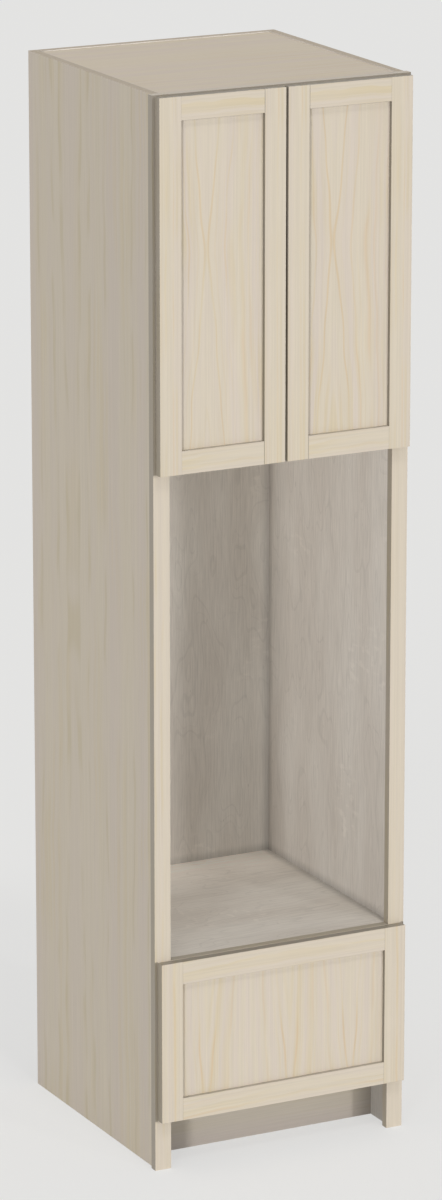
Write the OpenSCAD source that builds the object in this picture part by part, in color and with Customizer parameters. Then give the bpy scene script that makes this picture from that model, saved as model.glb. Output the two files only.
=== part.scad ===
// Tall oven housing: a framed kitchen cabinet with two shaker doors above an open
// oven bay and one shaker drawer below it.
// Millimetres. X runs to the viewer's right, the front faces -Y, Z points up.
// The origin is on the floor, under the middle of the whole unit.

/* [Case] */
// Width over the face frame
case_w = 609.6; // [500:0.1:900]
// Height from the floor to the top of the face frame
case_h = 2362.2; // [2200:0.1:2500]
// Depth from the front of the face frame to the rear edges of the sides
case_d = 609.6; // [580:0.1:660]
// Thickness of the two sides
side_t = 19.05; // [15:0.05:22]
// How far the face frame stands out past each side
frame_overhang = 6.35; // [3:0.05:10]
// Thickness of the top, the two decks and the bottom
deck_t = 19.05; // [15:0.05:22]
// Depth of the housings that hold the decks in the sides
housing_d = 6.35; // [3:0.05:9]
// How far the top panel lies below the rims of the sides
top_step = 1.5; // [0.5:0.1:4]
// Thickness of the tongues on the ends of the top, the decks and the bottom
tongue_t = 9.5; // [6:0.1:12]
// Thickness of the back panel
back_t = 6.35; // [4:0.05:9]
// Thickness of the hanging rails behind the back panel
hang_rail_t = 12.7; // [9:0.1:19]
// Height of the hanging rails
hang_rail_h = 101.6; // [70:0.1:120]

/* [Face frame] */
// Thickness of the face frame
frame_t = 19.05; // [17:0.05:22]
// Width of the two stiles
stile_w = 38.1; // [36:0.1:44]
// Height of the four rails
rail_h = 38.1; // [36:0.1:50]
// Thickness of the rail tenons
tenon_t = 6.35; // [5:0.05:8]
// Length of the rail tenons
tenon_l = 12.7; // [8:0.1:20]
// Shoulder above and below each tenon
tenon_shoulder = 5; // [3:0.1:8]

/* [Openings] */
// Height of the toe space, up to the underside of the bottom rail
toe_h = 114.3; // [90:0.1:130]
// Height of the opening behind the drawer front
drawer_opening_h = 285.75; // [270:0.05:330]
// Height of the oven opening between its two rails
oven_opening_h = 1079.5; // [900:0.1:1150]
// Distance from the front of the face frame to the toe board
toe_setback = 95.25; // [70:0.05:120]
// Thickness of the toe board
toe_board_t = 12.7; // [9:0.1:19]
// Leg of the triangular glue blocks behind the toe board
glue_block = 28; // [20:1:40]
// Thickness of the cleats under the oven deck
cleat_t = 17; // [12:0.1:18]
// Height of the cleats under the oven deck
cleat_h = 38.1; // [30:0.1:44]

/* [Doors and drawer front] */
// Thickness of the doors and the drawer front
front_t = 19.05; // [18:0.05:22]
// Gap between the face frame and the backs of the fronts, filled by the bumpers
front_gap = 2; // [1.6:0.05:3]
// Face frame left showing at each side of the fronts
reveal = 6.35; // [5:0.05:9]
// Face frame left showing above the doors
top_reveal = 3.2; // [1:0.1:6]
// Gap between the two doors
pair_gap = 4.8; // [2:0.1:6]
// Width of the shaker stiles and rails
shaker_w = 50.8; // [50:0.1:64]
// How far the panels lie behind the fronts of the stiles
panel_recess = 9.5; // [4:0.1:10]
// Thickness of the recessed panels
panel_t = 6.35; // [5:0.05:7]
// Depth of the grooves that hold the panels, and length of the stub tenons
groove_d = 9; // [6:0.1:9.5]
// Play left around a panel in its grooves
panel_play = 0.8; // [0.4:0.1:2]
// Diameter of the bumpers
bumper_d = 9.5; // [6:0.1:12]

/* [Hinges] */
// Diameter of the hinge cups
cup_d = 35; // [34.5:0.1:35.5]
// Depth of the hinge cups
cup_depth = 11.3; // [11:0.1:12.5]
// Distance from the edge of a door to the edge of a cup
cup_edge = 5; // [4.8:0.1:6]
// Wall of the cups
cup_wall = 0.9; // [0.6:0.1:1]
// Thickness of the flange around a cup
flange_t = 1.2; // [0.8:0.1:1.3]
// Distance from the top or bottom of a door to the middle of a hinge
hinge_inset = 88.9; // [70:0.1:120]
// Thickness of the hinge links
link_t = 2; // [1.6:0.1:2.1]
// Width of the hinge links
link_w = 9; // [7:0.1:9.4]
// Diameter of the hinge pins
pin_d = 2.5; // [2:0.1:2.8]
// Thickness of the frame plates of the hinges
arm_plate_t = 2.2; // [1.8:0.1:2.4]
// Height of the frame plates of the hinges
arm_plate_h = 40; // [36:1:50]

/* [Drawer box] */
// Thickness of the drawer box sides
box_side_t = 12.7; // [12:0.1:16]
// Thickness of the drawer box front and back
box_end_t = 15.9; // [14:0.1:19]
// Height of the drawer box
box_h = 228.6; // [203.2:25.4:228.6]
// Gap between the bottom rail and the drawer box
box_lift = 12.7; // [8:0.1:20]
// Wood left in front of the dovetails
lap = 4; // [3:0.1:6]
// Spacing of the dovetails
dovetail_pitch = 25.4; // [20:0.1:40]
// Slope of the dovetails, in degrees
dovetail_angle = 10; // [7:1:14]
// Thickness of the drawer bottom
bottom_t = 6.35; // [5:0.05:7]
// Depth of the grooves for the drawer bottom
bottom_groove = 6.35; // [4:0.05:7]
// Distance of the screws in the box front from its sides
front_screw_inset = 45; // [25:1:90]
// Distance of the screws in the box front from its upper and lower edges
front_screw_rise = 35; // [25:1:60]
// Height of the drawer bottom above the lower edge of the box
bottom_rise = 10; // [8:0.1:14]

/* [Slides] */
// Thickness of one closed slide
slide_t = 12.7; // [12.7:0.1:13]
// Height of the fixed slide members
slide_h = 45.7; // [44:0.1:48]
// Set-back of the slides from the front of the face frame
slide_setback = 3; // [2:0.1:6]
// Gap between the rear ends of the slides and the back panel
slide_rear_gap = 54.15; // [30:0.05:90]
// Sheet thickness of the slide members
slide_sheet = 1.2; // [1:0.05:1.3]
// Height of the middle of the slides above the lower edge of the box
slide_rise = 76; // [60:1:110]
// Diameter of the balls between the fixed and the middle members
ball_d = 3.1; // [3:0.05:3.2]
// Diameter of the balls between the middle and the inner members
small_ball_d = 2.4; // [2.3:0.05:2.5]
// Height of the packing strips beside the slides
packer_h = 76.2; // [60:0.1:90]
// How far the packing strips run on behind the slides
packer_reach = 10; // [0:0.1:25]

/* [Shelves] */
// Thickness of the adjustable shelves
shelf_t = 19.05; // [15:0.05:22]
// Play between a shelf and each side
shelf_play = 1.6; // [1:0.1:3]
// Set-back of a shelf from the face frame and the back panel
shelf_setback = 12; // [6:1:30]
// Spacing of the shelf pin holes
pin_pitch = 32; // [25:1:40]
// Diameter of the shelf pin holes
pin_hole_d = 5; // [4.8:0.1:6.4]
// Depth of the shelf pin holes
pin_hole_depth = 10; // [8:0.5:12]
// Distance of the pin hole rows from the front and the rear of a shelf
pin_row_inset = 45; // [30:1:70]
// Distance of the pin holes from the floor and the top of the upper compartment
pin_margin = 160; // [100:1:220]
// Length of the lugs that the shelves rest on
pin_lug = 9; // [7:0.1:12]

/* [Hidden] */
$fn = 48;
play = 0.05;              // running play of a pin, and of a screw in its hole
rolling_play = 0.12;      // play between a ball and its races

// Places across the unit
side_x = case_w / 2 - frame_overhang;      // outer face of a side
inner_x = side_x - side_t;                 // inner face of a side
open_x = case_w / 2 - stile_w;             // inner edge of a stile
front_x = case_w / 2 - reveal;             // outer edge of the fronts

// Places along the depth
unit_d = case_d + front_gap + front_t;
front_y = -unit_d / 2;                     // faces of the doors and drawer front
frame_y = front_y + front_t + front_gap;   // front of the face frame
case_y = frame_y + frame_t;                // front edges of the sides
rear_y = frame_y + case_d;                 // rear edges of the sides
rail_y = rear_y - hang_rail_t;             // rear of the back panel
back_y = rail_y - back_t;                  // front of the back panel
front_back_y = front_y + front_t;          // backs of the doors and drawer front
toe_y = frame_y + toe_setback;

// Heights
bottom_z = toe_h + rail_h;                 // top of the bottom rail and panel
drawer_rail_z = bottom_z + drawer_opening_h;
oven_z = drawer_rail_z + rail_h;           // floor of the oven bay
mid_rail_z = oven_z + oven_opening_h;
upper_z = mid_rail_z + rail_h;             // floor of the upper compartment
top_z = case_h - top_step - deck_t;        // underside of the top panel
door_z0 = mid_rail_z;
door_z1 = case_h - top_reveal;
drawer_front_z0 = toe_h;
drawer_front_z1 = oven_z;

// Hinges, in the plane of a door: distance from its edge, then from its back
cup_r = cup_d / 2;
cup_e = cup_edge + cup_r;                  // middle of a cup
cup_pin = [cup_edge + 4.2, -4.5];          // pin in the cup
arm_pin = [stile_w - reveal + 2.85, -front_gap]; // pin in the frame arm
link_dip = 40;                             // how steeply a link leaves the cup pin
eye_r = pin_d / 2 + 0.95;
nose_r = pin_d / 2 + 1.35;
ear_t = 1.5;
link_chord = norm(arm_pin - cup_pin);
link_rise = atan2(arm_pin[1] - cup_pin[1], arm_pin[0] - cup_pin[0]);
link_r = link_chord / 2 / sin(link_rise + link_dip);
link_mid = cup_pin + link_r * [sin(link_dip), cos(link_dip)];
hinge_zs = [door_z0 + hinge_inset, door_z1 - hinge_inset];
cup_screw = [cup_e + 9.5, 22.5];           // from the door's edge, from the hinge's middle
arm_screw_z = 13;

// Drawer box and slides
box_x = open_x - slide_t;                  // outer face of a box side
slide_y0 = frame_y + slide_setback;
slide_y1 = back_y - slide_rear_gap;
slide_l = slide_y1 - slide_y0;
box_y0 = front_back_y;
box_y1 = slide_y1;
box_z0 = bottom_z + box_lift;
box_z1 = box_z0 + box_h;
tail_l = box_end_t - lap;
tails = floor(box_h / dovetail_pitch);
tail_pitch = box_h / tails;
slide_z = box_z0 + slide_rise;

// Slide sections, from the packing strip towards the drawer
race_r = ball_d / 2 + rolling_play;
small_race_r = small_ball_d / 2 + rolling_play;
race = [5.2, slide_h / 2 - slide_sheet - race_r];          // outer balls, x and z
mid_h = race[1] - race_r;                                  // half height, middle member
small_race = [8.3, mid_h - slide_sheet - small_race_r];    // inner balls, x and z
inner_h = small_race[1] - small_race_r;                    // half height, inner member
mid_web_x = slide_sheet + 1.8;
bend_r = 1.8;                                              // outside of the bends
slide_screw_inset = 32;
slide_screw_ys = [slide_screw_inset, slide_l / 2, slide_l - slide_screw_inset];

// Shelves
shelf_y0 = case_y + shelf_setback;
shelf_y1 = back_y - shelf_setback;
pin_rows = [shelf_y0 + pin_row_inset, shelf_y1 - pin_row_inset];
pin_z0 = upper_z + pin_margin;
pin_count = floor((top_z - pin_margin - pin_z0) / pin_pitch) + 1;
shelf_zs = [pin_z0 + 3 * pin_pitch, pin_z0 + (pin_count - 4) * pin_pitch];

birch = [0.72, 0.67, 0.60];
maple = [0.84, 0.80, 0.72];
steel = [0.72, 0.73, 0.75];
zinc = [0.62, 0.63, 0.64];
clear_rubber = [0.88, 0.88, 0.86];

// A block between two corners
module block(x, y, z) {
    translate([x[0], y[0], z[0]]) cube([x[1] - x[0], y[1] - y[0], z[1] - z[0]]);
}

// The same thing on the left, and mirrored on the right
module on_left() { children(); }
module on_right() { mirror([1, 0, 0]) children(); }
module on_both() { on_left() children(); on_right() children(); }

// ---------- Screws ----------

// A screw along +Z with its head's bearing face at z = 0, and its point up
module pan_screw(shank_d, length, head_d, head_h) {
    rotate_extrude() polygon([[0, -head_h], [head_d / 2 - head_h * 0.6, -head_h],
        [head_d / 2, -head_h * 0.35], [head_d / 2, 0], [shank_d / 2, 0],
        [shank_d / 2, length - shank_d], [0, length]]);
}

// The hole that such a screw fills
module screw_hole(shank_d, length) {
    translate([0, 0, -1]) cylinder(d = shank_d + 2 * play, h = length + 2);
}

// ---------- Case ----------

// A board between the sides, with the tongues on its ends in their housings
module deck_blank(z_top) {
    ends = inner_x + housing_d;
    z = z_top - deck_t;
    block([-inner_x, inner_x], [case_y, back_y], [z, z_top]);
    block([-ends, ends], [case_y, back_y], [z, z + tongue_t]);
}

module back_blank() {
    ends = inner_x + housing_d;
    block([-ends, ends], [back_y, rail_y], [bottom_z - deck_t, case_h]);
}

// Pin holes in the left side
module pin_holes() {
    for (y = pin_rows, i = [0 : pin_count - 1])
        translate([-inner_x - pin_hole_depth, y, pin_z0 + i * pin_pitch])
            rotate([0, 90, 0]) cylinder(d = pin_hole_d, h = pin_hole_depth + 1);
}

module side_blank() {
    color(birch) difference() {
        block([-side_x, -inner_x], [case_y, rear_y], [0, case_h]);
        deck_blank(bottom_z);
        deck_blank(oven_z);
        deck_blank(upper_z);
        deck_blank(top_z + deck_t);
        back_blank();
        pin_holes();
        cleat_screws(true);
    }
}

module side_left() { on_left() side_blank(); }
module side_right() { on_right() side_blank(); }
module top_panel() { color(birch) deck_blank(top_z + deck_t); }
module upper_deck() { color(birch) deck_blank(upper_z); }
module oven_deck() { color(birch) deck_blank(oven_z); }
module bottom_panel() { color(birch) deck_blank(bottom_z); }
module back_panel() { color(birch) back_blank(); }

// Rails behind the back panel that take the wall screws
module hang_rails() {
    for (z = [bottom_z - deck_t, upper_z - hang_rail_h, case_h - hang_rail_h])
        color(birch) block([-inner_x, inner_x], [rail_y, rear_y], [z, z + hang_rail_h]);
}

module toe_board() {
    color(maple) block([-inner_x, inner_x], [toe_y, toe_y + toe_board_t],
        [0, bottom_z - deck_t]);
}

module toe_blocks() {
    color(birch) on_both() translate([-inner_x, toe_y + toe_board_t, 0])
        linear_extrude(bottom_z - deck_t)
            polygon([[0, 0], [glue_block, 0], [0, glue_block]]);
}

// Screws through the cleats into the left side
cleat_screw_l = 30;
module cleat_screws(hole = false) {
    for (y = [case_y + 60, (case_y + back_y) / 2, back_y - 60])
        translate([-inner_x + cleat_t, y, oven_z - deck_t - cleat_h / 2])
            rotate([0, -90, 0])
                if (hole) screw_hole(4, cleat_screw_l);
                else pan_screw(4, cleat_screw_l, 8, 2.4);
}

module oven_cleats() {
    z = oven_z - deck_t;
    color(birch) on_both() difference() {
        block([-inner_x, -inner_x + cleat_t], [case_y, back_y], [z - cleat_h, z]);
        cleat_screws(true);
    }
}

// ---------- Face frame ----------

module rail_tenon(z) {
    mid_y = frame_y + frame_t / 2;
    ends = open_x + tenon_l;
    block([-ends, ends], [mid_y - tenon_t / 2, mid_y + tenon_t / 2],
        [z + tenon_shoulder, z + rail_h - tenon_shoulder]);
}

module frame_rail(z) {
    color(maple) union() {
        block([-open_x, open_x], [frame_y, case_y], [z, z + rail_h]);
        rail_tenon(z);
    }
}

rail_zs = [toe_h, drawer_rail_z, mid_rail_z, case_h - rail_h];

module frame_stile() {
    color(maple) difference() {
        block([-case_w / 2, -open_x], [frame_y, case_y], [0, case_h]);
        for (z = rail_zs) rail_tenon(z);
        for (z = hinge_zs) at_hinge(z) arm_screws(true);
    }
}

module stile_left() { on_left() frame_stile(); }
module stile_right() { on_right() frame_stile(); }
module rail_bottom() { frame_rail(rail_zs[0]); }
module rail_drawer() { frame_rail(rail_zs[1]); }
module rail_middle() { frame_rail(rail_zs[2]); }
module rail_top() { frame_rail(rail_zs[3]); }

// ---------- Shelves ----------

module shelf(z) {
    x = inner_x - shelf_play;
    color(birch) block([-x, x], [shelf_y0, shelf_y1], [z, z + shelf_t]);
}

module shelf_lower() { shelf(shelf_zs[0]); }
module shelf_upper() { shelf(shelf_zs[1]); }

// One pin: a peg in its hole, a collar, and a half-round lug with a flat top
module shelf_pin() {
    color(zinc) rotate([0, 90, 0]) {
        translate([0, 0, -pin_hole_depth + 1])
            cylinder(d = pin_hole_d - 2 * play, h = pin_hole_depth - 1);
        difference() {
            union() {
                cylinder(d = 1.6 * pin_hole_d, h = pin_lug / 9);
                cylinder(d = 1.3 * pin_hole_d, h = pin_lug);
            }
            translate([-2 * pin_hole_d, -pin_hole_d, -1])
                cube([2 * pin_hole_d, 2 * pin_hole_d, pin_lug + 2]);
        }
    }
}

module shelf_pins() {
    on_both() for (y = pin_rows, z = shelf_zs) translate([-inner_x, y, z]) shelf_pin();
}

// ---------- Five-piece fronts ----------

// Grooves of a framed front: the panel and the stub tenons share them
groove_y = [front_y + panel_recess, front_y + panel_recess + panel_t];

// A stile or rail blank less its groove, x, z being its ranges, groove the groove's
module grooved(x, z, groove_x, groove_z) {
    color(maple) difference() {
        block(x, [front_y, front_back_y], z);
        block(groove_x, groove_y, groove_z);
    }
}

// Upright at the left of a front that spans x and z
module front_stile(x, z) {
    inside = x[0] + shaker_w;
    grooved([x[0], inside], z, [inside - groove_d, inside + 1], [z[0] - 1, z[1] + 1]);
}

// Cross piece with stub tenons. up is true for the lower one, whose groove faces up
module front_rail(x, z, up) {
    ends = [x[0] + shaker_w, x[1] - shaker_w];
    z_in = up ? z[0] + shaker_w : z[1] - shaker_w;
    zs = up ? [z[0], z_in] : [z_in, z[1]];
    zg = up ? [z_in - groove_d, z_in + 1] : [z_in - 1, z_in + groove_d];
    tenon_z = up ? [z[0], z_in - groove_d] : [z_in + groove_d, z[1]];
    grooved(ends, zs, [ends[0] - 1, ends[1] + 1], zg);
    color(maple) for (e = [[ends[0] - groove_d, ends[0]], [ends[1], ends[1] + groove_d]])
        block(e, groove_y, tenon_z);
}

module front_panel(x, z) {
    reach = shaker_w - groove_d + panel_play;
    color(maple) block([x[0] + reach, x[1] - reach], groove_y,
        [z[0] + reach, z[1] - reach]);
}

module bumper() {
    color(clear_rubber) rotate([-90, 0, 0]) cylinder(d = bumper_d, h = front_gap);
}

// ---------- Doors, drawn as the left one ----------

door_x = [-front_x, -pair_gap / 2];
door_z = [door_z0, door_z1];

module door_hinge_stile() {
    difference() {
        front_stile(door_x, door_z);
        for (z = hinge_zs) at_hinge(z) cup_recess();
    }
}

module door_meeting_stile() {
    translate([door_x[0] + door_x[1], 0, 0]) mirror([1, 0, 0]) front_stile(door_x, door_z);
}

module door_bumpers() {
    for (z = [door_z0 + rail_h / 2, door_z1 - rail_h / 2])
        translate([door_x[1] - shaker_w / 2, front_back_y, z]) bumper();
}

module door_left_hinge_stile() { on_left() door_hinge_stile(); }
module door_left_meeting_stile() { on_left() door_meeting_stile(); }
module door_left_top_rail() { on_left() front_rail(door_x, door_z, false); }
module door_left_bottom_rail() { on_left() front_rail(door_x, door_z, true); }
module door_left_panel() { on_left() front_panel(door_x, door_z); }
module door_left_bumpers() { on_left() door_bumpers(); }
module door_right_hinge_stile() { on_right() door_hinge_stile(); }
module door_right_meeting_stile() { on_right() door_meeting_stile(); }
module door_right_top_rail() { on_right() front_rail(door_x, door_z, false); }
module door_right_bottom_rail() { on_right() front_rail(door_x, door_z, true); }
module door_right_panel() { on_right() front_panel(door_x, door_z); }
module door_right_bumpers() { on_right() door_bumpers(); }

// ---------- Hinges ----------
// Drawn with X from the left door's edge, Y from the door's back towards the case,
// and Z from the hinge's middle.

module at_hinge(z) translate([-front_x, front_back_y, z]) children();

module ring_of(r, t) {
    difference() { circle(r + t / 2, $fn = 96); circle(r - t / 2, $fn = 96); }
}

// The curved link: an arc between two eyes
module link_outline() {
    spread = link_rise + link_dip;
    start = -90 - link_dip;
    far = 2 * link_r;
    difference() {
        union() {
            intersection() {
                translate(link_mid) ring_of(link_r, link_t);
                translate(link_mid) polygon([[0, 0],
                    for (i = [0 : 4]) far * [cos(start + i * spread / 2),
                        sin(start + i * spread / 2)]]);
            }
            for (p = [cup_pin, arm_pin]) translate(p) circle(eye_r);
        }
        for (p = [cup_pin, arm_pin]) translate(p) circle(pin_d / 2 + play);
    }
}

module hinge_link() {
    color(steel) translate([0, 0, -link_w / 2]) linear_extrude(link_w) link_outline();
}

// A pin along Z through a point of the hinge's plane
module hinge_pin(place, length) {
    translate([place[0], place[1], -length / 2]) cylinder(d = pin_d, h = length);
}

// A cup's pin ends just inside the outer face of the cup's wall
cup_pin_l = 2 * (sqrt(pow(cup_r, 2) - pow(cup_e - cup_pin[0] + pin_d / 2, 2)) - 0.15);
ear_out = link_w / 2 + 0.3 + ear_t;

module cup_pin() { color(zinc) hinge_pin(cup_pin, cup_pin_l); }
module arm_pin() { color(zinc) hinge_pin(arm_pin, 2 * ear_out); }

module flange_outline() {
    wing_x = [cup_e + 2.5, cup_screw[0] + 6];
    wing_z = cup_screw[1] + 5.5;
    corner = 4;
    difference() {
        union() {
            translate([cup_e, 0]) circle(cup_r + 3, $fn = 96);
            translate([wing_x[0], -wing_z + corner])
                square([wing_x[1] - wing_x[0], 2 * (wing_z - corner)]);
            translate([wing_x[0] + corner, -wing_z])
                square([wing_x[1] - wing_x[0] - 2 * corner, 2 * wing_z]);
            for (x = [wing_x[0] + corner, wing_x[1] - corner], s = [-1, 1])
                translate([x, s * (wing_z - corner)]) circle(corner);
        }
        translate([cup_e, 0]) circle(cup_r - cup_wall, $fn = 96);
        for (s = [-1, 1]) translate([cup_screw[0], s * cup_screw[1]])
            circle(cup_screw_d / 2 + play);
    }
}

cup_screw_d = 3.5;
cup_screw_l = 12;

module cup_screws(hole = false) {
    for (s = [-1, 1]) translate([cup_screw[0], flange_t, s * cup_screw[1]])
        rotate([90, 0, 0])
            if (hole) screw_hole(cup_screw_d, cup_screw_l);
            else pan_screw(cup_screw_d, cup_screw_l, 6.4, 0.7);
}

// The pressed cup with its flange, open towards the case
module hinge_cup() {
    inside = cup_r - cup_wall;
    soft = 2.5;
    color(zinc) difference() {
        union() {
            rotate([-90, 0, 0]) linear_extrude(flange_t) mirror([0, 1]) flange_outline();
            translate([cup_e, 0, 0]) rotate([90, 0, 0]) rotate_extrude($fn = 96)
                polygon([[0, cup_depth], [cup_r - soft, cup_depth],
                    [cup_r, cup_depth - soft], [cup_r, 0], [inside, 0],
                    [inside, cup_depth - soft - cup_wall / 2],
                    [inside - soft + cup_wall / 2, cup_depth - cup_wall],
                    [0, cup_depth - cup_wall]]);
        }
        hinge_pin(cup_pin, cup_pin_l);
    }
}

// What a hinge takes out of the door's stile
module cup_recess() {
    translate([cup_e, 1, 0]) rotate([90, 0, 0])
        cylinder(r = cup_r, h = cup_depth + 1, $fn = 96);
    cup_screws(true);
}

// Plate on the inner edge of the frame's stile, and the two ears that hold the pin
module hinge_arm() {
    plate_x = [stile_w - reveal, stile_w - reveal + arm_plate_t];
    plate_y = [front_gap + 0.6, front_gap + frame_t - 0.6];
    color(steel) difference() {
        union() {
            block(plate_x, plate_y, [-arm_plate_h / 2, arm_plate_h / 2]);
            for (s = [-1, 1]) {
                z0 = s > 0 ? link_w / 2 + 0.3 : -ear_out;
                translate([0, 0, z0]) linear_extrude(ear_t) union() {
                    translate(arm_pin) circle(nose_r);
                    translate([plate_x[0], arm_pin[1]])
                        square([arm_pin[0] + nose_r - plate_x[0],
                            plate_y[0] + 6 - arm_pin[1]]);
                }
            }
        }
        hinge_pin(arm_pin, 2 * ear_out + 2);
        arm_screws(true);
    }
}

arm_screw_d = 4;
arm_screw_l = 16;

module arm_screws(hole = false) {
    for (s = [-1, 1])
        translate([stile_w - reveal + arm_plate_t, front_gap + frame_t / 2,
            s * arm_screw_z])
            rotate([0, -90, 0])
                if (hole) screw_hole(arm_screw_d, arm_screw_l);
                else pan_screw(arm_screw_d, arm_screw_l, 7.6, 2.2);
}

module hinge_cups_left() { on_left() for (z = hinge_zs) at_hinge(z) hinge_cup(); }
module hinge_cups_right() { on_right() for (z = hinge_zs) at_hinge(z) hinge_cup(); }
module hinge_cup_pins_left() { on_left() for (z = hinge_zs) at_hinge(z) cup_pin(); }
module hinge_cup_pins_right() { on_right() for (z = hinge_zs) at_hinge(z) cup_pin(); }
module hinge_cup_screws_left() {
    color(zinc) on_left() for (z = hinge_zs) at_hinge(z) cup_screws();
}
module hinge_cup_screws_right() {
    color(zinc) on_right() for (z = hinge_zs) at_hinge(z) cup_screws();
}
module hinge_links_left() { on_left() for (z = hinge_zs) at_hinge(z) hinge_link(); }
module hinge_links_right() { on_right() for (z = hinge_zs) at_hinge(z) hinge_link(); }
module hinge_arms() { on_both() for (z = hinge_zs) at_hinge(z) hinge_arm(); }
module hinge_arm_pins() { on_both() for (z = hinge_zs) at_hinge(z) arm_pin(); }

// All the screws in the case: hinge arms, oven cleats and fixed slide members
module case_screws() {
    color(zinc) on_both() {
        for (z = hinge_zs) at_hinge(z) arm_screws();
        cleat_screws();
        fixed_screws();
    }
}

// ---------- Drawer ----------

drawer_x = [-front_x, front_x];
drawer_z = [drawer_front_z0, drawer_front_z1];

module drawer_front_left_stile() { on_left() front_stile(drawer_x, drawer_z); }
module drawer_front_right_stile() { on_right() front_stile(drawer_x, drawer_z); }
module drawer_front_top_rail() { front_rail(drawer_x, drawer_z, false); }
module drawer_front_bottom_rail() { front_rail(drawer_x, drawer_z, true); }

// The drawer's panel is thick in its field, flush behind, so that the box screws to it
module drawer_front_panel() {
    field = shaker_w + panel_play;
    difference() {
        union() {
            front_panel(drawer_x, drawer_z);
            color(maple) block([-front_x + field, front_x - field],
                [groove_y[1], front_back_y],
                [drawer_front_z0 + field, drawer_front_z1 - field]);
        }
        front_screws(true);
    }
}

module drawer_bumpers() {
    on_both() for (z = [drawer_front_z0 + rail_h / 2, drawer_front_z1 - rail_h / 2])
        translate([-(open_x + front_x) / 2, front_back_y, z]) bumper();
}

// The tails of a box side at one end, pointing to -Y, over the side's whole thickness
module tail_row() {
    flare = tail_l * tan(dovetail_angle);
    root = tail_pitch / 2 - flare / 2;
    tip = root + flare;
    for (i = [0 : tails - 1])
        translate([-box_x, 0, box_z0 + (i + 0.5) * tail_pitch])
            rotate([90, 0, 90]) linear_extrude(box_side_t)
                polygon([[0, -tip / 2], [tail_l, -root / 2], [tail_l, root / 2],
                    [0, tip / 2]]);
}

module front_tails() { translate([0, box_y0 + lap, 0]) tail_row(); }
module rear_tails() { translate([0, box_y1 - lap, 0]) mirror([0, 1, 0]) tail_row(); }

module bottom_blank(grow = 0) {
    x = box_x - box_side_t + bottom_groove + grow;
    block([-x, x], [box_y0 + box_end_t - bottom_groove - grow,
        box_y1 - box_end_t + bottom_groove + grow],
        [box_z0 + bottom_rise, box_z0 + bottom_rise + bottom_t]);
}

module box_side() {
    color(maple) difference() {
        union() {
            block([-box_x, -box_x + box_side_t],
                [box_y0 + box_end_t, box_y1 - box_end_t], [box_z0, box_z1]);
            front_tails();
            rear_tails();
        }
        bottom_blank(0.3);
        inner_screws(true);
    }
}

module box_end(y) {
    color(maple) difference() {
        block([-box_x, box_x], y, [box_z0, box_z1]);
        on_both() { front_tails(); rear_tails(); }
        bottom_blank(0.3);
        if (y[0] == box_y0) front_screws(true);
    }
}

module drawer_side_left() { on_left() box_side(); }
module drawer_side_right() { on_right() box_side(); }
module drawer_box_front() { box_end([box_y0, box_y0 + box_end_t]); }
module drawer_box_back() { box_end([box_y1 - box_end_t, box_y1]); }
module drawer_bottom() { color(birch) bottom_blank(); }

// Screws from inside the box into the field of the front's panel
front_screw_l = box_end_t + front_t - panel_recess - 2;
front_screw_x = box_x - box_side_t - front_screw_inset;
module front_screws(hole = false) {
    for (s = [-1, 1], z = [box_z0 + front_screw_rise, box_z1 - front_screw_rise])
        translate([s * front_screw_x, box_y0 + box_end_t, z])
            rotate([90, 0, 0])
                if (hole) screw_hole(4, front_screw_l);
                else pan_screw(4, front_screw_l, 9, 2.2);
}

// ---------- Slides, drawn on the left, X from the packing strip to the drawer ----------

module at_slide() translate([-open_x, slide_y0, slide_z]) children();

// A strip of sheet bent round a centre, its outside at r, between two angles
module bend(centre, r, from, to) {
    reach = 3 * r;
    steps = 4;
    translate(centre) intersection() {
        difference() { circle(r); circle(r - slide_sheet); }
        polygon([[0, 0], for (i = [0 : steps]) let (a = from + (to - from) * i / steps)
            reach * [cos(a), sin(a)]]);
    }
}

// A straight strip of sheet between two corners
module strip(low, high) { translate(low) square(high - low); }

// Upper half of a hooked channel, X and height: its web at x, a rounded corner at
// height h, a flat lip, and a hook that holds the balls in
module hooked_half(x, h, balls, r) {
    s = slide_sheet;
    strip([x, 0], [x + s, h - bend_r]);
    bend([x + bend_r, h - bend_r], bend_r, 90, 180);
    strip([x + bend_r, h - s], [balls[0], h]);
    bend(balls, r + s, 15, 90);
}

module fixed_profile() { hooked_half(0, slide_h / 2, race, race_r); }
module middle_profile() { hooked_half(mid_web_x, mid_h, small_race, small_race_r); }

// Upper half of the inner member: its web against the drawer and a plain lip
module inner_profile() {
    s = slide_sheet;
    strip([slide_t - s, 0], [slide_t, inner_h - bend_r]);
    bend([slide_t - bend_r, inner_h - bend_r], bend_r, 0, 90);
    strip([small_race[0] - small_race_r, inner_h - s], [slide_t - bend_r, inner_h]);
}

// A slide member along +Y, from the upper half of its profile
module member() {
    translate([0, slide_l, 0]) rotate([90, 0, 0]) linear_extrude(slide_l) {
        children();
        mirror([0, 1]) children();
    }
}

slide_screw_d = 3.8;
fixed_screw_l = 14;
inner_screw_l = 10;

module slide_packers() {
    color(birch) on_both() difference() {
        block([-inner_x, -open_x], [case_y, slide_y1 + packer_reach],
            [slide_z - packer_h / 2, slide_z + packer_h / 2]);
        fixed_screws(true);
    }
}

module fixed_screws(hole = false) {
    at_slide() for (y = slide_screw_ys)
        translate([slide_sheet, y, 0]) rotate([0, -90, 0])
            if (hole) screw_hole(slide_screw_d, fixed_screw_l);
            else pan_screw(slide_screw_d, fixed_screw_l, 7, 1.2);
}

module inner_screws(hole = false) {
    at_slide() for (y = slide_screw_ys)
        translate([slide_t - slide_sheet, y, 0]) rotate([0, 90, 0])
            if (hole) screw_hole(slide_screw_d, inner_screw_l);
            else pan_screw(slide_screw_d, inner_screw_l, 7, 1.2);
}

module slide_fixed() {
    color(steel) on_both() difference() {
        at_slide() member() fixed_profile();
        fixed_screws(true);
    }
}

module slide_middle() {
    color(steel) at_slide() member() middle_profile();
}

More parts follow.
